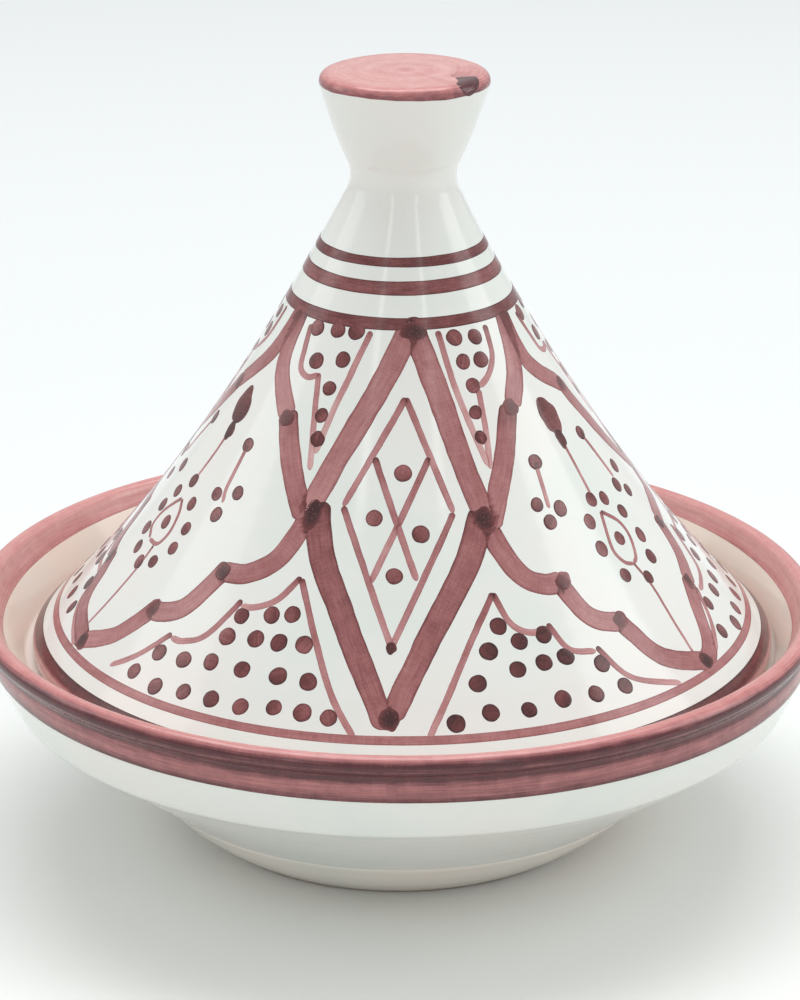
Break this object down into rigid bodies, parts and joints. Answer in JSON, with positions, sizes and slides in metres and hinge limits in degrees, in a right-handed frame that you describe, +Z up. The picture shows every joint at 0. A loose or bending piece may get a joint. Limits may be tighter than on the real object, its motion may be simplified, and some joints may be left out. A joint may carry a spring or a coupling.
{
  "type": "tagine pot",
  "caption": "Glazed ceramic serving tagine: footed dish with a seat inside its rim, and a hollow conical lid with a waisted knob that lifts off.",
  "frame": {"origin": "centre of the foot's underside, on the pot's own axis", "axes": "+Z up along the axis of the dish and lid; -Y is the front, where one of the lid's three painted diamonds faces"},
  "size_m": [0.2732, 0.2732, 0.2482],
  "materials": {
    "white_glaze": "clear gloss over a white slip",
    "rose_glaze": "brushed-on rose paint under clear gloss",
    "maroon_glaze": "brushed-on maroon paint under clear gloss"
  },
  "bodies": {
    "dish": {"dish": "white_glaze", "rim_glaze": "rose_glaze"},
    "lid": {"lid": "white_glaze", "knob_glaze": "rose_glaze", "neck_bands_glaze": "maroon_glaze", "lid_line_glaze": "maroon_glaze", "lid_edge_glaze": "maroon_glaze"}
  },
  "joints": [
    {"name": "lid_lift", "type": "slide", "parent": "dish", "child": "lid", "axis": [0, 0, 1], "range_m": [0, 0.15]}
  ]
}
